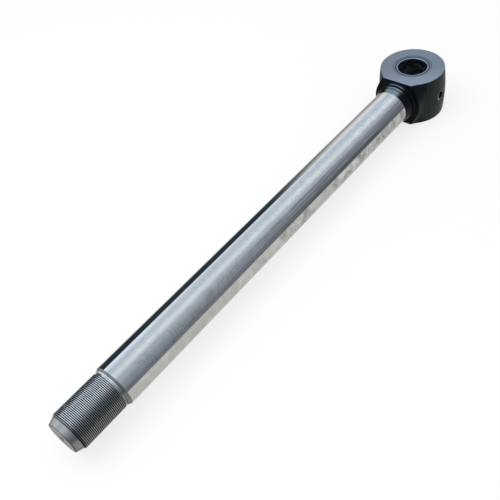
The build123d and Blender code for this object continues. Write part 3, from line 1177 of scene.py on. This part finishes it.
def studio_world(studio):
    """World: white to the camera, plain daylight to matt surfaces, and a room of bands to glossy ones.

    Towards the thread's end the room is dimmer below and lighter above, with a paler wall low behind and
    a darker floor, and a window makes it lighter high behind the bar.
    """
    world = bpy.data.worlds.new("studio")
    bpy.context.scene.world = world
    s = Shader(world)
    x, y, z = s.axes(s.node("ShaderNodeTexCoord", output="Generated"))
    elevation = around_bar(s, y, z) * (180 / math.pi)
    brightest = max(max(shade) for _, shade in ROOM)
    stops = [((degrees + 180) / 360, [part / brightest for part in shade]) for degrees, shade in ROOM]
    ramp = s.node("ShaderNodeValToRGB", {"stops": stops}, {"Fac": (elevation + 180.0) / 360.0})
    raised = s.step(elevation, -65, -20) * 0.15 + s.step(elevation, -20, 60) * 0.7 - 0.5
    behind = s.step(elevation, 160, 178) + 1 - s.step(elevation, -165, -140)
    below = s.band(elevation, -106, -82, 12)
    window = s.band(elevation, 133, 150, 8) * (1 - s.step(x, 0.2, 0.4)) * 0.25
    raised = raised * (1 - s.step(x, -0.5, -0.2))
    ends = (behind * 0.9 - below * 0.5) * (1 - s.step(x, *CARD_FROM))
    room = s.shaded(ramp, 1 + raised + window + ends)
    card = s.step(elevation, *CARD_START) + 1 - s.step(elevation, *CARD_END)
    card = card * s.between(x, CARD_FROM, CARD_TO)
    room = s.mix(card, room, tuple(part / brightest for part in CARD_COLOUR))
    camera = s.node("ShaderNodeLightPath", output="Is Camera Ray")
    glossy = s.node("ShaderNodeLightPath", output="Is Glossy Ray")
    level = glossy * brightest + (1 - glossy) * studio.daylight
    tint = s.mix(glossy, (1.0, 1.0, 1.0), room)
    light = s.node("ShaderNodeBackground", None, {"Color": tint, "Strength": level})
    white = s.node("ShaderNodeBackground", None, {"Color": WHITE, "Strength": 1.0})
    chosen = s.node("ShaderNodeMixShader", None, {0: camera, 1: light, 2: white})
    s.node("ShaderNodeOutputWorld", None, {"Surface": chosen})


def studio_floor(studio):
    """Floor: plain white that keeps a soft shadow. Glossy surfaces see the room's pale floor instead."""
    s = Shader(bpy.data.materials.new("studio_floor"))
    matt = s.node("ShaderNodeBsdfDiffuse", None, {"Color": WHITE})
    glow = s.node("ShaderNodeEmission", None, {"Color": WHITE, "Strength": 1.0})
    both = s.node("ShaderNodeMixShader", None, {0: studio.floor_glow, 1: matt, 2: glow})
    s.node("ShaderNodeOutputMaterial", None, {"Surface": both})
    mesh = bpy.data.meshes.new("floor")
    corners = studio.floor_reach * np.array([(-1, -1), (1, -1), (1, 1), (-1, 1)])
    mesh.from_pydata(joined(*corners.T, CAD_BOX[0].z).tolist(), [], [(0, 1, 2, 3)])
    mesh.materials.append(s.owner)
    floor = bpy.data.objects.new("floor", mesh)
    floor.visible_glossy = False
    bpy.context.scene.collection.objects.link(floor)


def studio_lamp(studio):
    """One large soft lamp above the thread's end, to the left of the bar."""
    light = bpy.data.lights.new("soft_lamp", "AREA")
    light.shape = "SQUARE"
    light.size = studio.lamp_size
    light.energy = studio.lamp_power
    lamp = bpy.data.objects.new("soft_lamp", light)
    lamp.location = studio.lamp_place
    lamp.rotation_euler = studio.lamp_tilt
    lamp.visible_glossy = False
    lamp.visible_camera = False
    bpy.context.scene.collection.objects.link(lamp)


def studio_camera(studio):
    """Camera at the photograph's place. Its local X, Y and Z are the picture's right, up and backward."""
    data = bpy.data.cameras.new("camera")
    data.sensor_width = 36.0
    data.lens = studio.lens
    data.shift_x, data.shift_y = studio.shift
    data.clip_start = 0.01
    data.clip_end = 50.0
    camera = bpy.data.objects.new("camera", data)
    pose = np.eye(4)
    pose[:3, :3] = np.transpose([CAMERA_RIGHT, CAMERA_DOWN, CAMERA_FORWARD]) * (1, -1, -1)
    pose[:3, 3] = studio.camera_place
    camera.matrix_world = Matrix(pose.tolist())
    bpy.context.scene.collection.objects.link(camera)
    bpy.context.scene.camera = camera


def weld_steel(scene):
    """The finish that weld and neck share, made once."""
    made = bpy.data.materials.get("weld_steel")
    return made or weld_material(scene.rod_finish, rod_stations(scene.rod_shape), scene.weld_shape)


class MakeRod(Operator):
    """Make the bar with its chrome, shoulder, thread and nose"""

    bl_idname = "piston_rod.make_rod"
    bl_label = "Piston Rod"

    def execute(self, context):
        rod = context.scene.rod_shape
        finish = context.scene.rod_finish
        at = rod_stations(rod)
        profile, finishes = bar_profile(rod, at)
        shell = Shell()
        shell.add(turned(profile), finishes)
        shell.add(thread_grid(rod, at), 1, around=False)
        shell.add(turned(nose_profile(rod, at)), 1)
        materials = [chrome_material(finish), steel_material(finish, rod, at)]
        shell.piece("chromed_bar", materials, "chrome_bar", "piston_rod")
        return {"FINISHED"}


class MakeEye(Operator):
    """Make the eye and its neck"""

    bl_idname = "piston_rod.make_eye"
    bl_label = "Rod Eye"

    def execute(self, context):
        eye = context.scene.eye_shape
        finish = context.scene.rod_finish
        plan = eye_plan(eye, context.scene.rod_shape)
        materials = [paint_material(finish), face_material(finish, plan), port_material(finish, eye)]
        eye_shell(eye, plan).piece("eye", materials, "black_paint", "rod_eye")
        neck_shell(eye, plan).piece("eye_neck", [weld_steel(context.scene)], "black_paint", "rod_eye")
        return {"FINISHED"}


class MakeBush(Operator):
    """Make the bush in the eye"""

    bl_idname = "piston_rod.make_bush"
    bl_label = "Eye Bush"

    def execute(self, context):
        finish = context.scene.rod_finish
        materials = [bush_material(finish), bore_material(finish)]
        bush_shell(context.scene.eye_shape).piece("bush", materials, "bush_steel", "eye_bush")
        return {"FINISHED"}


class MakeWeld(Operator):
    """Make the weld between bar and neck"""

    bl_idname = "piston_rod.make_weld"
    bl_label = "Weld"

    def execute(self, context):
        rod = context.scene.rod_shape
        shell = weld_shell(context.scene.weld_shape, rod, rod_stations(rod))
        shell.piece("weld_passes", [weld_steel(context.scene)], "weld_paint", "weld_bead")
        return {"FINISHED"}


class MakeStudio(Operator):
    """Make the floor, the light and the camera"""

    bl_idname = "piston_rod.make_studio"
    bl_label = "Studio"

    def execute(self, context):
        context.scene.view_settings.view_transform = "Standard"
        for part in (studio_world, studio_floor, studio_lamp, studio_camera):
            part(context.scene.rod_studio)
        return {"FINISHED"}


class PistonRodPanel(Panel):
    """Lists the operators and their sizes"""

    bl_idname = "VIEW3D_PT_piston_rod"
    bl_label = "Piston Rod"
    bl_space_type = "VIEW_3D"
    bl_region_type = "UI"
    bl_category = "Piston Rod"

    def draw(self, context):
        for operator in OPERATORS:
            self.layout.operator(operator.bl_idname)
        for name in GROUPS:
            group = getattr(context.scene, name)
            box = self.layout.box()
            for size in group.bl_rna.properties.keys():
                if size not in ("rna_type", "name"):
                    box.prop(group, size)


GROUPS = {
    "rod_shape": RodShape,
    "eye_shape": EyeShape,
    "weld_shape": WeldShape,
    "rod_finish": Finish,
    "rod_studio": Studio,
}
OPERATORS = (MakeStudio, MakeRod, MakeEye, MakeBush, MakeWeld)
CLASSES = (*GROUPS.values(), *OPERATORS, PistonRodPanel)


def register():
    for kind in CLASSES:
        bpy.utils.register_class(kind)
    for name, kind in GROUPS.items():
        setattr(bpy.types.Scene, name, PointerProperty(type=kind))


def unregister():
    for name in GROUPS:
        delattr(bpy.types.Scene, name)
    for kind in reversed(CLASSES):
        bpy.utils.unregister_class(kind)


def main():
    register()
    for operator in OPERATORS:
        family, name = operator.bl_idname.split(".")
        getattr(getattr(bpy.ops, family), name)()


if __name__ == "__main__":
    main()
